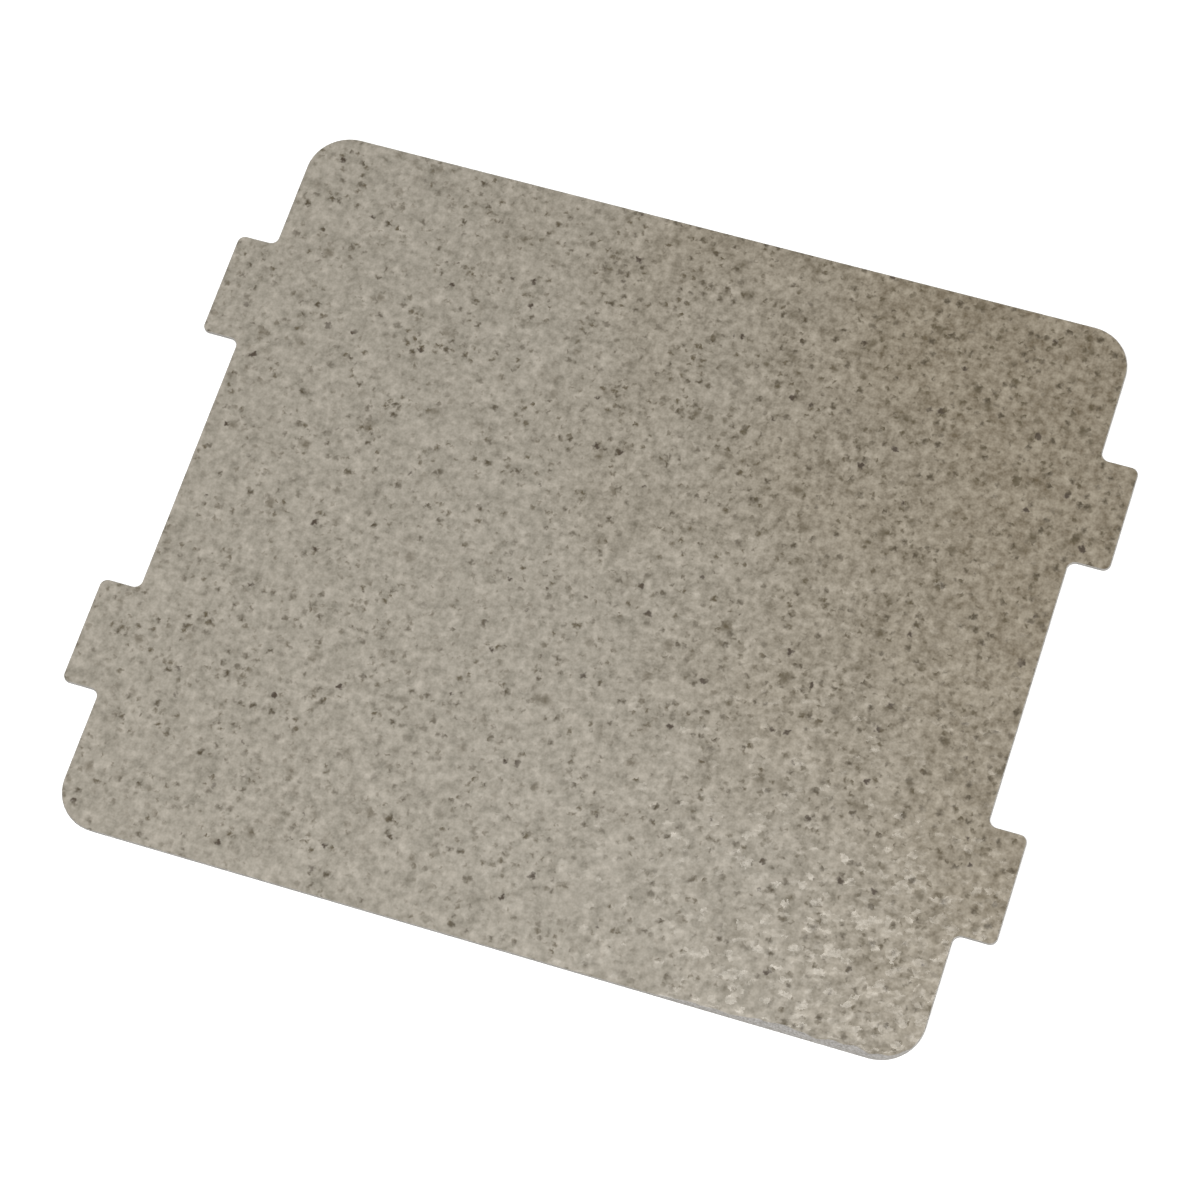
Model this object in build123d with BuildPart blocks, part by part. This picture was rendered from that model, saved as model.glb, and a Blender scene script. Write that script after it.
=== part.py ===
"""Mica plate that covers the waveguide outlet inside a microwave oven.

The plate is one flat sheet of pressed mica board, die-cut to its outline: a body with
rounded corners and two tabs on each short side, which slip into slots in the oven's wall.

Millimetres, +Z up. The sheet lies flat with its underside on z = 0. The origin is the middle
of that underside, X runs across the sheet through the tabs, and Y runs along the tabbed sides.
"""

import os

from build123d import *

# Body of the sheet
BODY_WIDTH = 109.0
BODY_HEIGHT = 99.0
CORNER_RADIUS = 5.5
THICKNESS = 0.5

# Tabs on the two short sides
TAB_PITCH = 50.0
TAB_WIDTH = 14.3
TAB_DEPTH = 5.0
TAB_TIP_RADIUS = 1.0
TAB_ROOT_RADIUS = 1.0

overall_width = BODY_WIDTH + 2 * TAB_DEPTH


# Points of the sharp outline that the cutting die rounds, each picked while still sharp
def body_corners(outline):
    """Four corners of the body: the lowest and highest rows of points."""
    rows = outline.vertices().group_by(Axis.Y)
    return rows[0] + rows[-1]


def tab_tips(outline):
    """Eight outer corners of the tabs: the outermost columns of points."""
    columns = outline.vertices().group_by(Axis.X)
    return columns[0] + columns[-1]


def tab_roots(outline):
    """Eight inner corners, where the tabs leave the body: all the other points."""
    return outline.vertices() - body_corners(outline) - tab_tips(outline)


# The sheet: a strip across the body stands out as one tab on each side
with BuildPart() as mica_plate:
    with BuildSketch() as outline:
        Rectangle(BODY_WIDTH, BODY_HEIGHT)
        with GridLocations(0, TAB_PITCH, 1, 2):
            Rectangle(overall_width, TAB_WIDTH)
        fillet(tab_roots(outline), TAB_ROOT_RADIUS)
        fillet(tab_tips(outline), TAB_TIP_RADIUS)
        fillet(body_corners(outline), CORNER_RADIUS)
    extrude(amount=THICKNESS)

mica_plate.part.label = "mica_plate"

os.makedirs("parts", exist_ok=True)
export_step(mica_plate.part, "parts/mica_plate.step")
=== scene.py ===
"""Looks of the mica plate: a thin sheet of pressed mica board that lies on a pale studio floor.

Works in metres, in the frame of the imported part. Sizes whose names end in _MM are millimetres,
and angles are degrees.
"""

import math

import bpy
import numpy as np
from mathutils import Matrix, Vector, geometry, noise


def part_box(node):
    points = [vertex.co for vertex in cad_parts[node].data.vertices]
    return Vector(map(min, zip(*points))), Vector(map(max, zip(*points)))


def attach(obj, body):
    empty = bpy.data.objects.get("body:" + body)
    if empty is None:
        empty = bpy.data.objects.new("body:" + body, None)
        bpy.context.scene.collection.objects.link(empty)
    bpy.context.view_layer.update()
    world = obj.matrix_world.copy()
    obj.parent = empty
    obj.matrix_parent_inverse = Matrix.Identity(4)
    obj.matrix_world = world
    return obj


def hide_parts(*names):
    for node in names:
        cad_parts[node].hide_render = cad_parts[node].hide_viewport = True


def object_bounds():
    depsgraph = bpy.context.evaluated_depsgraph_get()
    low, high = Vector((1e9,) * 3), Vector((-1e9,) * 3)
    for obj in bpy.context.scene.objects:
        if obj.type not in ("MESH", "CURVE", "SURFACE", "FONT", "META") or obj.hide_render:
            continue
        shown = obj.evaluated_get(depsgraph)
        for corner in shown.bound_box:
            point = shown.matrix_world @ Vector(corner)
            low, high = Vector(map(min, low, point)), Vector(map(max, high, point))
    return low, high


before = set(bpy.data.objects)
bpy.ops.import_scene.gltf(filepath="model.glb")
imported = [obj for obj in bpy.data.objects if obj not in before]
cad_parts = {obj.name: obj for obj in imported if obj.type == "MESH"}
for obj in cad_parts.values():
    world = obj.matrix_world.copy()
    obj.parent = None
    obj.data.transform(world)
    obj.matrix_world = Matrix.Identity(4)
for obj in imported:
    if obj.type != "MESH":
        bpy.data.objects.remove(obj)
cad_low, cad_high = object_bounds()

MM = 0.001
MM_PER_METRE = 1000.0

# Camera: looks down on the lying sheet, a little from its right, with a slight roll
CAMERA_TARGET_MM = (0.96, -3.26)
CAMERA_AZIMUTH = 27.86
CAMERA_ELEVATION = 66.62
CAMERA_ROLL = -10.57
CAMERA_DISTANCE_MM = 496.4
CAMERA_LENS_MM = 121.36
CAMERA_SENSOR_MM = 36.0

# Mesh of the sheet: how closely its points lie on the top face, the underside and the rim, and how
# clear of the rim the others stay, as a share of their spacing
TOP_SPACING_MM = 0.45
UNDERSIDE_SPACING_MM = 1.0
RIM_STEP_MM = 0.5
RIM_CLEARANCE = 0.6

# A face of the solid belongs to its top where its normal rises by more than this
TOP_NORMAL = 0.5

# Filling a face: Blender's number for triangles inside the rim, and when two points count as one
FILL_INSIDE = 1
SAME_POINT_M = 1e-9

# Shading turns sharp where two faces meet at more than this angle
SHARP_ANGLE = 35.0

# Relief that the press leaves in both faces: ripples of flakes over broad swells
RELIEF_MM = 0.014
RIPPLE_LENGTH_MM = 2.4
RIPPLE_WIDTH_MM = 1.4
RIPPLE_TURN = 18.0
RIPPLE_SHARE = 0.7
SWELL_MM = 9.0
TOP_SEED = 3.7
UNDERSIDE_SEED = 11.2

# Cut wall, from the top down: how high each ring lies as a share of the wall, how far it stands
# back, and its share of the crushed places
WALL_RINGS = (
    (1.0, 0.1, 1.0),
    (0.85, 0.03, 0.55),
    (0.6, 0.035, 0.15),
    (0.4, 0.01, 0.0),
    (0.18, 0.025, 0.0),
    (0.0, 0.05, 0.0),
)
WALL_ROUGHNESS_MM = 0.03
WALL_ROUGHNESS_LENGTH_MM = 0.9

# Crushed places of the wall: how far along X, half their length and how far the top stands back.
# They lie in a band along the front of the rim, and their depth is ragged.
CRUSHED_MM = ((29.0, 8.0, 0.35), (38.0, 9.0, 0.8), (47.0, 9.0, 0.7))
FRONT_BAND_MM = 2.0
CRUSH_RAGGED = 0.6
CRUSH_RAGGED_MM = 1.6
CRUSH_SEED = 5.3

# Mica board: colours from its deepest flakes to its palest, and the real sizes of what shows in the
# face, each with its share of the tone
BOARD_DEEP = "#5a5545"
BOARD_PALE = "#c0b8aa"
CLOUD_MM = 3.6
CLOUD_GAIN = 0.3
MOTTLE_MM = 1.15
MOTTLE_GAIN = 0.78
MOTTLE_ROUGHNESS = 0.7
FLAKE_MM = (1.05, 0.8, 1.0)
FLAKE_GAIN = 0.04
FLAKE_TILT = 1.95
UNDERSIDE_SHIFT_MM = (170.0, 230.0, 0.0)

# Torn outlines of flakes and specks: how long a tear is, and how far it may reach
TEAR_MM = 0.55
RAGGED_MM = 0.4

# The board turns browner from its left front to its right back, along a wandering border. Its tone
# varies more there, and its dark mica is stronger.
BROWN_DEEP = "#55472c"
BROWN_PALE = "#a49a87"
BROWN_CONTRAST = 1.75
BROWN_SPECKS = 2.6
BROWN_WAY = (1.0, 0.57, 0.0)
BROWN_FROM_MM = -19.5
BROWN_TO_MM = 67.0
BROWN_WANDER_MM = 30.0
BROWN_CLOUD_MM = 22.0

# Dark mica, from specks to smudges: largest size, mean distance between places, share of places
# taken, softness of the rim, colour, and how strong the faintest and the strongest are
SPECKS = (
    (1.25, 3.3, 0.28, 0.6, "#32230a", 0.7, 1.0),
    (1.4, 1.5, 0.85, 0.9, "#3a2e10", 0.2, 0.95),
    (1.2, 0.9, 0.8, 1.0, "#463a1c", 0.1, 0.85),
    (2.4, 2.2, 0.6, 1.0, "#463a1c", 0.1, 0.5),
)

# Dark mica lies thicker in some places: their size, the span of the noise that is used, and the
# strength from the barest to the thickest
CROWD_MM = 4.5
CROWD_SPAN = (0.3, 0.7)
CROWD_BAREST = 0.3
CROWD_THICKEST = 1.7

# Fine ripples of the flakes, as relief too fine for the mesh
FINE_RIPPLE_MM = (1.7, 1.2, 1.0)
FINE_RIPPLE_RELIEF_MM = 0.03

# Surface of the faces: satin flakes under a thin skin of silicone resin
BOARD_ROUGHNESS = 0.35
BOARD_IOR = 1.45
RESIN_SHARE = 0.28
RESIN_ROUGHNESS = 0.17
RESIN_IOR = 1.42

# Surface of the cut wall. The torn ends of its flakes are drawn an eighth as thick as they are long,
# thicker than real ones, so that they show.
EDGE_GREY = "#aeaba7"
EDGE_SHADE = "#7b7770"
EDGE_SPAN = (0.3, 0.7)
EDGE_GRAIN_MM = 0.3
EDGE_LENGTH_TO_THICKNESS = 8.0
EDGE_RELIEF_MM = 0.015
EDGE_ROUGHNESS = 0.7
EDGE_IOR = 1.58

# Octaves in the noise of a soft pattern and of a fine one, and the middle of a noise's values
SOFT_DETAIL = 1.0
FINE_DETAIL = 2.0
NOISE_MIDDLE = 0.5

# Lamps: place, size, power in watts and colour
CARD_LAMP = ((-120.0, -300.0, 680.0), 300.0, 3.7, "#fdfdff")
SIDE_LAMP = ((700.0, -80.0, 110.0), 200.0, 2.4, "#fdfdff")
SPOT_LAMP = ((-50.0, 320.0, 1500.0), 60.0, 2.0, "#fffaf2")

# Sky and floor: what the sky gives the object, and how far the floor is lifted to white for the eye
SKY_WHITE = "#ffffff"
SKY_STRENGTH = 0.35
FLOOR_WHITE = "#f2f2f0"
FLOOR_LIFT = 0.45
FLOOR_SIZE_M = 6.0
FLOOR_GAP_MM = 0.02

# Sockets of Blender's colour mix node, which has several with one name
MIX_FACTOR, MIX_FIRST, MIX_SECOND, MIX_RESULT = 0, 6, 7, 2


def linear(colour):
    """Linear red, green, blue and alpha of an sRGB hex colour."""
    parts = [int(colour[i:i + 2], 16) / 255 for i in (1, 3, 5)]
    return [p / 12.92 if p <= 0.04045 else ((p + 0.055) / 1.055) ** 2.4 for p in parts] + [1.0]


def add_node(tree, kind, sockets=None, **settings):
    """Adds a node. Its sockets take a plain value or another node's output."""
    made = tree.nodes.new(kind)
    for name, value in settings.items():
        setattr(made, name, value)
    for name, value in (sockets or {}).items():
        if isinstance(value, bpy.types.NodeSocket):
            tree.links.new(value, made.inputs[name])
        else:
            made.inputs[name].default_value = value
    return made.outputs


def empty_tree(owner):
    """The emptied node tree of a material or world."""
    owner.use_nodes = True
    owner.node_tree.nodes.clear()
    return owner.node_tree


def new_object(name, data):
    """An object with this data, put into the scene."""
    made = bpy.data.objects.new(name, data)
    bpy.context.scene.collection.objects.link(made)
    return made


def pressed_mica_board(half_height):
    """Mica board: flakes of mica pressed flat with a little silicone resin.

    The flakes give a satin grey-brown face, cloudy in tone, finely mottled and peppered with
    dark mica. Each flake lies at a slightly different tilt, so some glint towards a lamp.
    """
    material = bpy.data.materials.new("mica_board_pressed_flakes")
    tree = empty_tree(material)
    place = add_node(tree, "ShaderNodeTexCoord")["Object"]
    height = add_node(tree, "ShaderNodeSeparateXYZ", {0: place})["Z"]
    place = add_node(
        tree, "ShaderNodeVectorMath",
        {0: place, 1: [MM_PER_METRE] * 3},
        operation="MULTIPLY",
    )[0]
    across = add_node(
        tree, "ShaderNodeVectorMath",
        {0: place, 1: BROWN_WAY},
        operation="DOT_PRODUCT",
    )["Value"]

    # The underside has other flakes than the top
    under = add_node(tree, "ShaderNodeMath", {0: height, 1: half_height}, operation="LESS_THAN")[0]
    shift = add_node(
        tree, "ShaderNodeVectorMath",
        {0: UNDERSIDE_SHIFT_MM, "Scale": under},
        operation="SCALE",
    )[0]
    place = add_node(tree, "ShaderNodeVectorMath", {0: place, 1: shift}, operation="ADD")[0]

    # Ragged places, so that flakes and specks have torn outlines
    wobble = add_node(
        tree, "ShaderNodeTexNoise",
        {"Vector": place, "Scale": 1 / TEAR_MM, "Detail": SOFT_DETAIL},
        noise_dimensions="2D",
    )["Color"]
    wobble = add_node(
        tree, "ShaderNodeVectorMath",
        {0: wobble, 1: [NOISE_MIDDLE] * 3},
        operation="SUBTRACT",
    )[0]
    wobble = add_node(
        tree, "ShaderNodeVectorMath",
        {0: wobble, "Scale": 2 * RAGGED_MM},
        operation="SCALE",
    )[0]
    ragged = add_node(tree, "ShaderNodeVectorMath", {0: place, 1: wobble}, operation="ADD")[0]

    # Tone from deep to pale: clouds, a finer mottle, and each flake a shade of its own
    cloud = add_node(
        tree, "ShaderNodeTexNoise",
        {"Vector": place, "Scale": 1 / CLOUD_MM, "Detail": SOFT_DETAIL},
        noise_dimensions="2D",
    )["Fac"]
    mottle = add_node(
        tree, "ShaderNodeTexNoise",
        {"Vector": place, "Scale": 1 / MOTTLE_MM, "Detail": FINE_DETAIL, "Roughness": MOTTLE_ROUGHNESS},
        noise_dimensions="2D",
    )["Fac"]
    turn = (0.0, 0.0, math.radians(RIPPLE_TURN))
    flakes = add_node(
        tree, "ShaderNodeMapping",
        {"Vector": ragged, "Rotation": turn, "Scale": FLAKE_MM},
        vector_type="TEXTURE",
    )[0]
    flakes = add_node(
        tree, "ShaderNodeTexVoronoi",
        {"Vector": flakes, "Scale": 1.0},
        voronoi_dimensions="2D",
    )["Color"]
    shade = add_node(tree, "ShaderNodeSeparateColor", {"Color": flakes})["Red"]

    # Browner and more mottled towards one side
    wander = add_node(
        tree, "ShaderNodeTexNoise",
        {"Vector": place, "Scale": 1 / BROWN_CLOUD_MM, "Detail": SOFT_DETAIL},
        noise_dimensions="2D",
    )["Fac"]
    across = add_node(
        tree, "ShaderNodeMath",
        {0: wander, 1: BROWN_WANDER_MM, 2: across},
        operation="MULTIPLY_ADD",
    )[0]
    mean_wander = NOISE_MIDDLE * BROWN_WANDER_MM
    brown = add_node(
        tree, "ShaderNodeMapRange",
        {
            "Value": across,
            "From Min": BROWN_FROM_MM + mean_wander,
            "From Max": BROWN_TO_MM + mean_wander,
        },
        interpolation_type="SMOOTHSTEP",
    )[0]
    contrast = add_node(
        tree, "ShaderNodeMapRange",
        {"Value": brown, "To Min": 1.0, "To Max": BROWN_CONTRAST},
    )[0]
    tone = -NOISE_MIDDLE * (CLOUD_GAIN + MOTTLE_GAIN + FLAKE_GAIN)
    for pattern, gain in ((cloud, CLOUD_GAIN), (mottle, MOTTLE_GAIN), (shade, FLAKE_GAIN)):
        tone = add_node(
            tree, "ShaderNodeMath",
            {0: pattern, 1: gain, 2: tone},
            operation="MULTIPLY_ADD",
        )[0]
    tone = add_node(
        tree, "ShaderNodeMath",
        {0: tone, 1: contrast, 2: NOISE_MIDDLE},
        operation="MULTIPLY_ADD",
    )[0]
    colour = add_node(
        tree, "ShaderNodeMix",
        {MIX_FACTOR: tone, MIX_FIRST: linear(BOARD_DEEP), MIX_SECOND: linear(BOARD_PALE)},
        data_type="RGBA",
    )[MIX_RESULT]
    browner = add_node(
        tree, "ShaderNodeMix",
        {MIX_FACTOR: tone, MIX_FIRST: linear(BROWN_DEEP), MIX_SECOND: linear(BROWN_PALE)},
        data_type="RGBA",
    )[MIX_RESULT]
    colour = add_node(
        tree, "ShaderNodeMix",
        {MIX_FACTOR: brown, MIX_FIRST: colour, MIX_SECOND: browner},
        data_type="RGBA",
    )[MIX_RESULT]

    # Dark mica: specks, and smudges where it lies under paler flakes
    crowd = add_node(
        tree, "ShaderNodeTexNoise",
        {"Vector": place, "Scale": 1 / CROWD_MM, "Detail": SOFT_DETAIL},
        noise_dimensions="2D",
    )["Fac"]
    crowd = add_node(
        tree, "ShaderNodeMapRange",
        {
            "Value": crowd,
            "From Min": CROWD_SPAN[0],
            "From Max": CROWD_SPAN[1],
            "To Min": CROWD_BAREST,
            "To Max": CROWD_THICKEST,
        },
    )[0]
    darker = add_node(
        tree, "ShaderNodeMapRange",
        {"Value": brown, "To Min": 1.0, "To Max": BROWN_SPECKS},
    )[0]
    crowd = add_node(tree, "ShaderNodeMath", {0: crowd, 1: darker}, operation="MULTIPLY")[0]
    for size, spacing, share, softness, speck_colour, faintest, strongest in SPECKS:
        largest_reach = size / 2 / spacing
        cells = add_node(
            tree, "ShaderNodeTexVoronoi",
            {"Vector": ragged, "Scale": 1 / spacing},
            voronoi_dimensions="2D",
        )
        chance = add_node(tree, "ShaderNodeSeparateColor", {"Color": cells["Color"]})
        reach = add_node(
            tree, "ShaderNodeMapRange",
            {"Value": chance["Green"], "From Min": 1 - share, "From Max": 1.0, "To Max": largest_reach},
        )[0]
        strength = add_node(
            tree, "ShaderNodeMapRange",
            {"Value": chance["Blue"], "To Min": faintest, "To Max": strongest},
        )[0]
        strength = add_node(
            tree, "ShaderNodeMath",
            {0: strength, 1: crowd},
            operation="MULTIPLY", use_clamp=True,
        )[0]
        depth = add_node(
            tree, "ShaderNodeMath",
            {0: reach, 1: cells["Distance"]},
            operation="SUBTRACT",
        )[0]
        mark = add_node(
            tree, "ShaderNodeMapRange",
            {"Value": depth, "From Max": softness * largest_reach, "To Max": strength},
            interpolation_type="SMOOTHSTEP",
        )[0]
        colour = add_node(
            tree, "ShaderNodeMix",
            {MIX_FACTOR: mark, MIX_FIRST: colour, MIX_SECOND: linear(speck_colour)},
            data_type="RGBA",
        )[MIX_RESULT]

    # Ripples and the flakes' own tilts, which glint where they lean towards a lamp
    rippled = add_node(
        tree, "ShaderNodeMapping",
        {"Vector": place, "Rotation": turn, "Scale": FINE_RIPPLE_MM},
        vector_type="TEXTURE",
    )[0]
    ripple = add_node(
        tree, "ShaderNodeTexNoise",
        {"Vector": rippled, "Scale": 1.0, "Detail": SOFT_DETAIL},
        noise_dimensions="2D",
    )["Fac"]
    relief = add_node(
        tree, "ShaderNodeBump",
        {"Height": ripple, "Distance": FINE_RIPPLE_RELIEF_MM * MM},
    )[0]
    tilt = add_node(
        tree, "ShaderNodeVectorMath",
        {0: flakes, 1: [NOISE_MIDDLE] * 3},
        operation="SUBTRACT",
    )[0]
    tilt = add_node(
        tree, "ShaderNodeVectorMath",
        {0: tilt, 1: [2 * math.tan(math.radians(FLAKE_TILT))] * 3, 2: relief},
        operation="MULTIPLY_ADD",
    )[0]
    relief = add_node(tree, "ShaderNodeVectorMath", {0: tilt}, operation="NORMALIZE")[0]

    surface = add_node(
        tree, "ShaderNodeBsdfPrincipled",
        {
            "Base Color": colour,
            "Roughness": BOARD_ROUGHNESS,
            "IOR": BOARD_IOR,
            "Normal": relief,
            "Coat Weight": RESIN_SHARE,
            "Coat Roughness": RESIN_ROUGHNESS,
            "Coat IOR": RESIN_IOR,
            "Coat Normal": relief,
        },
    )["BSDF"]
    add_node(tree, "ShaderNodeOutputMaterial", {"Surface": surface})
    return material


def die_cut_mica_edge():
    """Cut wall of the board: the torn ends of its layers, paler, greyer and matter than its faces."""
    material = bpy.data.materials.new("mica_board_die_cut_edge")
    tree = empty_tree(material)
    place = add_node(tree, "ShaderNodeTexCoord")["Object"]
    scale = MM_PER_METRE / EDGE_GRAIN_MM
    layers = add_node(
        tree, "ShaderNodeVectorMath",
        {0: place, 1: (scale, scale, scale * EDGE_LENGTH_TO_THICKNESS)},
        operation="MULTIPLY",
    )[0]
    tone = add_node(
        tree, "ShaderNodeTexNoise",
        {"Vector": layers, "Scale": 1.0, "Detail": FINE_DETAIL},
    )["Fac"]
    tone = add_node(
        tree, "ShaderNodeMapRange",
        {"Value": tone, "From Min": EDGE_SPAN[0], "From Max": EDGE_SPAN[1]},
    )[0]
    colour = add_node(
        tree, "ShaderNodeMix",
        {MIX_FACTOR: tone, MIX_FIRST: linear(EDGE_SHADE), MIX_SECOND: linear(EDGE_GREY)},
        data_type="RGBA",
    )[MIX_RESULT]
    torn = add_node(tree, "ShaderNodeBump", {"Height": tone, "Distance": EDGE_RELIEF_MM * MM})[0]
    surface = add_node(
        tree, "ShaderNodeBsdfPrincipled",
        {"Base Color": colour, "Roughness": EDGE_ROUGHNESS, "IOR": EDGE_IOR, "Normal": torn},
    )["BSDF"]
    add_node(tree, "ShaderNodeOutputMaterial", {"Surface": surface})
    return material


def seen_directly(tree):
    """1 for the rays of the camera, mirrors and glass, and 0 for light that falls on the object."""
    rays = add_node(tree, "ShaderNodeLightPath")
    seen = rays["Is Camera Ray"]
    for kind in ("Is Glossy Ray", "Is Transmission Ray"):
        seen = add_node(tree, "ShaderNodeMath", {0: seen, 1: rays[kind]}, operation="MAXIMUM")[0]
    return seen


def white_paper_floor():
    """Matt white paper. The camera sees it lifted to white, but for the sheet's own shadow."""
    material = bpy.data.materials.new("white_paper_matt")
    tree = empty_tree(material)
    diffuse = add_node(tree, "ShaderNodeBsdfDiffuse", {"Color": linear(FLOOR_WHITE)})[0]
    seen = seen_directly(tree)
    strength = add_node(tree, "ShaderNodeMath", {0: seen, 1: FLOOR_LIFT}, operation="MULTIPLY")[0]
    lift = add_node(tree, "ShaderNodeEmission", {"Strength": strength})[0]
    surface = add_node(tree, "ShaderNodeAddShader", {0: diffuse, 1: lift})[0]
    add_node(tree, "ShaderNodeOutputMaterial", {"Surface": surface})
    return material


def sheet_corners(cad_sheet):
    """Corner points of the top face's rim, in order round it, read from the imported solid."""
    mesh = cad_sheet.data
    sides = set()
    for face in mesh.polygons:
        if face.normal.z > TOP_NORMAL:
            corners = [tuple(mesh.vertices[i].co) for i in face.vertices]
            sides.update(zip(corners, corners[1:] + corners[:1]))
    following = {start: end for start, end in sides if (end, start) not in sides}
    rim = [min(following)]
    while following[rim[-1]] != rim[0]:
        rim.append(following[rim[-1]])
    return np.array(rim)[:, :2]


def evenly_stepped(corners, step):
    """The rim's points with more along each long side, about a step apart."""
    points = []
    for start, end in zip(corners, np.roll(corners, -1, axis=0)):
        count = max(1, round(np.linalg.norm(end - start) / step))
        points.extend(start + (end - start) * k / count for k in range(count))
    return np.array(points)


def points_inside(rim, spacing):
    """Even lattice of points inside a rim, clear of it by a good part of their spacing."""
    low, high = rim.min(axis=0), rim.max(axis=0)
    columns = np.arange(low[0], high[0], spacing)
    rows = np.arange(low[1], high[1], spacing * math.sqrt(3) / 2)
    shift = np.where(np.arange(len(rows)) % 2, spacing / 2, 0.0)
    points = np.array([(x + s, y) for y, s in zip(rows, shift) for x in columns])
    inside = np.zeros(len(points), bool)
    clearance = np.full(len(points), np.inf)
    for start, end in zip(rim, np.roll(rim, -1, axis=0)):
        along = end - start
        offset = points - start
        crosses = (start[1] > points[:, 1]) != (end[1] > points[:, 1])
        left = along[0] * offset[:, 1] - along[1] * offset[:, 0] > 0
        inside ^= crosses & (left == (along[1] > 0))
        share = np.clip(offset @ along / (along @ along), 0, 1)
        clearance = np.minimum(clearance, np.linalg.norm(offset - share[:, None] * along, axis=1))
    return points[inside & (clearance > RIM_CLEARANCE * spacing)]


def filled_face(rim, spacing):
    """Points and triangles of a flat face inside a rim. The rim's own points come first."""
    points = [Vector(p) for p in np.vstack((rim, points_inside(rim, spacing)))]
    sides = [(i, (i + 1) % len(rim)) for i in range(len(rim))]
    made = geometry.delaunay_2d_cdt(points, sides, [], FILL_INSIDE, SAME_POINT_M)
    return np.array(made[0]), [tuple(face) for face in made[2]]


def noise_along(points, length, seed):
    """Seeded noise from -1 to 1 at flat points, with features about as long as the given length."""
    return np.array([noise.noise(Vector((*p, seed))) for p in points / length])


def pressed_relief(points, seed):
    """How far the press left each point of a face below its highest, in metres."""
    turn = math.radians(RIPPLE_TURN)
    along = points @ (math.cos(turn), math.sin(turn))
    across = points @ (-math.sin(turn), math.cos(turn))
    ripple_size = np.array((RIPPLE_LENGTH_MM, RIPPLE_WIDTH_MM)) * MM
    ripples = noise_along(np.column_stack((along, across)), ripple_size, seed)
    swells = noise_along(points, SWELL_MM * MM, seed)
    heights = RIPPLE_SHARE * ripples + (1 - RIPPLE_SHARE) * swells
    return RELIEF_MM * MM * np.clip((1 + heights) / 2, 0, 1)


def crushed_depth(rim):
    """How far the top of the wall is crushed back at each point of the rim."""
    depth = np.zeros(len(rim))
    front = rim[:, 1] < rim[:, 1].min() + FRONT_BAND_MM * MM
    for middle, half_length, back in CRUSHED_MM:
        away = np.clip(np.abs(rim[:, 0] - middle * MM) / (half_length * MM), 0, 1)
        depth = np.maximum(depth, front * back * MM * (1 + np.cos(math.pi * away)) / 2)
    return depth * (1 + CRUSH_RAGGED * noise_along(rim, CRUSH_RAGGED_MM * MM, CRUSH_SEED))


def standing_back(rim, depth, seed):
    """The rim moved inwards by a depth that wanders a little along it."""
    tangent = np.roll(rim, -1, axis=0) - np.roll(rim, 1, axis=0)
    outward = np.stack((tangent[:, 1], -tangent[:, 0]), axis=1)
    outward /= np.linalg.norm(outward, axis=1)[:, None]
    wander = noise_along(rim, WALL_ROUGHNESS_LENGTH_MM * MM, seed)
    depth = depth + WALL_ROUGHNESS_MM * MM * (1 + wander) / 2
    return rim - outward * depth[:, None]


def pressed_sheet(cad_sheet):
    """Closed mesh of the sheet: two pressed faces and the cut wall between them."""
    low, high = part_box(cad_sheet.name)
    rim = evenly_stepped(sheet_corners(cad_sheet), RIM_STEP_MM * MM)
    crushed = crushed_depth(rim)
    rings = [
        standing_back(rim, back * MM + share * crushed, seed)
        for seed, (_, back, share) in enumerate(WALL_RINGS)
    ]
    top, top_faces = filled_face(rings[0], TOP_SPACING_MM * MM)
    under, under_faces = filled_face(rings[-1], UNDERSIDE_SPACING_MM * MM)
    top_height = high.z - pressed_relief(top, TOP_SEED)
    under_height = low.z + pressed_relief(under, UNDERSIDE_SEED)

    count = len(rim)
    points = [np.column_stack((top, top_height))]
    for ring, (share, *_) in list(zip(rings, WALL_RINGS))[1:-1]:
        ring_height = share * top_height[:count] + (1 - share) * under_height[:count]
        points.append(np.column_stack((ring, ring_height)))
    points.append(np.column_stack((under, under_height)))
    starts = np.cumsum([0] + [len(p) for p in points])

    faces = list(top_faces)
    faces += [tuple(starts[-2] + i for i in reversed(face)) for face in under_faces]
    face_count = len(faces)
    for upper, lower in zip(starts[:-2], starts[1:-1]):
        for i in range(count):
            k = (i + 1) % count
            faces.append((lower + i, lower + k, upper + k, upper + i))

    mesh = bpy.data.meshes.new("mica_sheet")
    mesh.from_pydata(np.vstack(points).tolist(), [], faces)
    mesh.materials.append(pressed_mica_board((low.z + high.z) / 2))
    mesh.materials.append(die_cut_mica_edge())
    mesh.polygons.foreach_set("material_index", [int(i >= face_count) for i in range(len(faces))])
    mesh.shade_smooth()
    mesh.set_sharp_from_angle(angle=math.radians(SHARP_ANGLE))
    mesh.validate()
    return new_object("mica_sheet", mesh)


def studio_floor(height):
    """Wide pale floor just under the sheet."""
    half = FLOOR_SIZE_M / 2
    corners = [(x * half, y * half, height) for x, y in ((-1, -1), (1, -1), (1, 1), (-1, 1))]
    mesh = bpy.data.meshes.new("floor")
    mesh.from_pydata(corners, [], [(0, 1, 2, 3)])
    mesh.materials.append(white_paper_floor())
    return new_object("floor", mesh)


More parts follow.
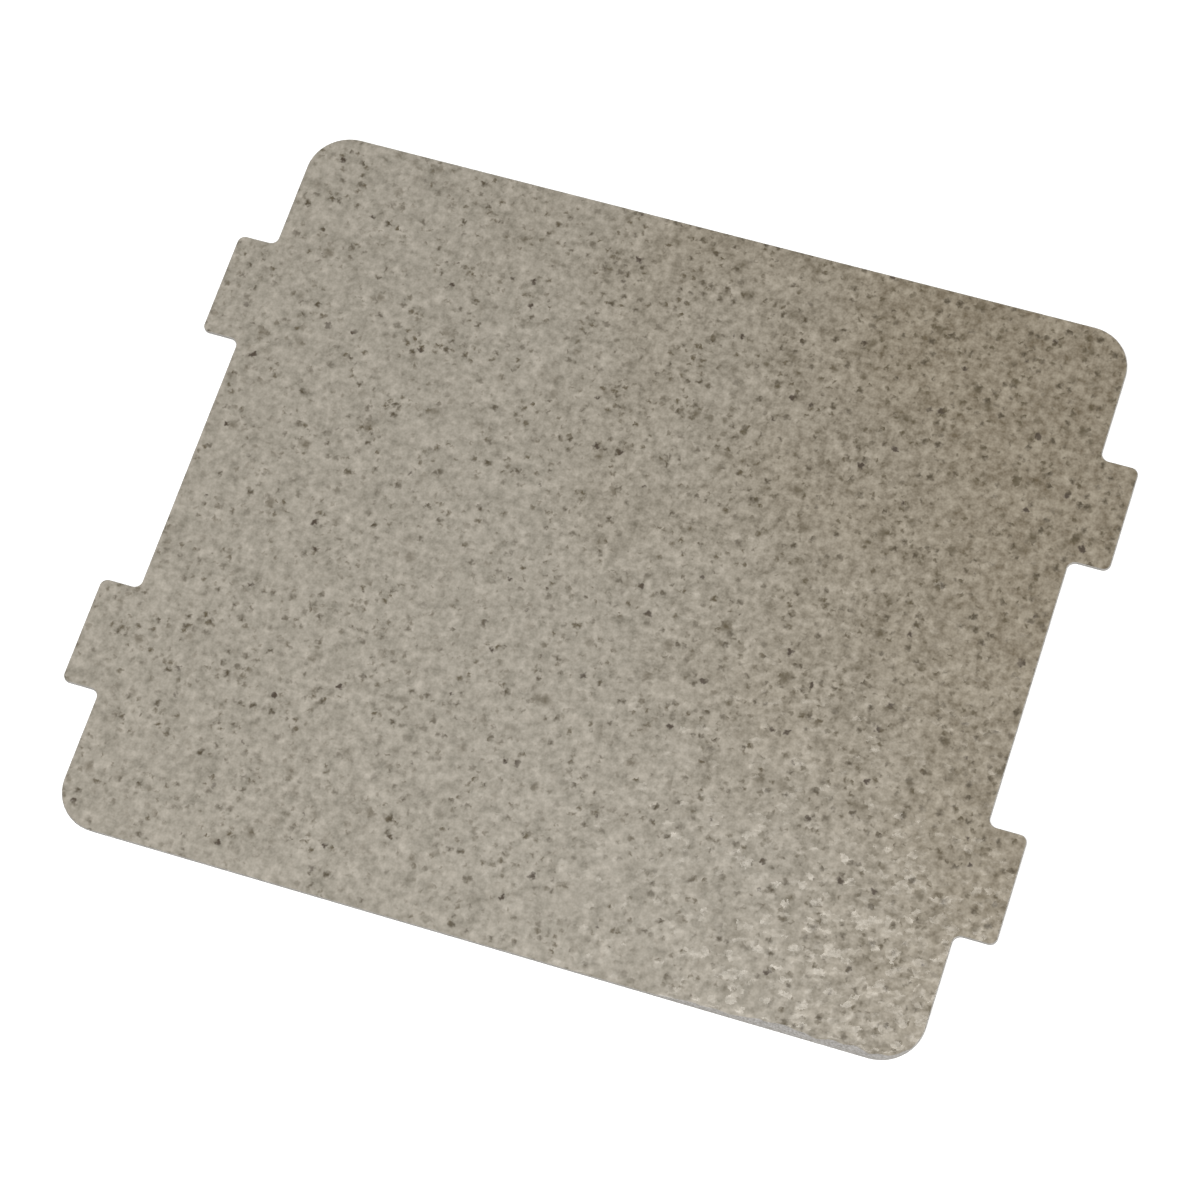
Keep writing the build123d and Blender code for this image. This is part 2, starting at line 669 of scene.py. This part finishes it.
def soft_lamp(name, place_mm, size_mm, watts, colour):
    """Square soft lamp, turned towards the sheet."""
    lamp = bpy.data.lights.new(name, "AREA")
    lamp.size = size_mm * MM
    lamp.energy = watts
    lamp.color = linear(colour)[:3]
    holder = new_object(name, lamp)
    holder.location = Vector(place_mm) * MM
    holder.rotation_euler = holder.location.to_track_quat("Z", "Y").to_euler()


def studio_sky():
    """White all round to the eye, and a softer even light on the object."""
    world = bpy.data.worlds.new("studio")
    tree = empty_tree(world)
    strength = add_node(
        tree, "ShaderNodeMapRange",
        {"Value": seen_directly(tree), "To Min": SKY_STRENGTH, "To Max": 1.0},
    )[0]
    surface = add_node(
        tree, "ShaderNodeBackground",
        {"Color": linear(SKY_WHITE), "Strength": strength},
    )[0]
    add_node(tree, "ShaderNodeOutputWorld", {"Surface": surface})
    bpy.context.scene.world = world


def overhead_camera(height):
    """Camera at the photograph's viewing angle."""
    azimuth = math.radians(CAMERA_AZIMUTH)
    elevation = math.radians(CAMERA_ELEVATION)
    away = Vector((
        math.sin(azimuth) * math.cos(elevation),
        -math.cos(azimuth) * math.cos(elevation),
        math.sin(elevation),
    ))
    target = Vector((CAMERA_TARGET_MM[0] * MM, CAMERA_TARGET_MM[1] * MM, height))
    roll = Matrix.Rotation(math.radians(CAMERA_ROLL), 3, "Z")
    turn = away.to_track_quat("Z", "Y").to_matrix() @ roll
    data = bpy.data.cameras.new("camera")
    data.lens = CAMERA_LENS_MM
    data.sensor_width = CAMERA_SENSOR_MM
    camera = new_object("camera", data)
    camera.matrix_world = Matrix.Translation(target + away * CAMERA_DISTANCE_MM * MM) @ turn.to_4x4()
    bpy.context.scene.camera = camera


sheet = pressed_sheet(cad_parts["mica_plate"])
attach(sheet, "root")
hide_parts("mica_plate")

studio_floor(cad_low.z - FLOOR_GAP_MM * MM)
soft_lamp("card_lamp", *CARD_LAMP)
soft_lamp("side_lamp", *SIDE_LAMP)
soft_lamp("spot_lamp", *SPOT_LAMP)
studio_sky()
overhead_camera(cad_high.z)
bpy.context.scene.view_settings.view_transform = "Standard"
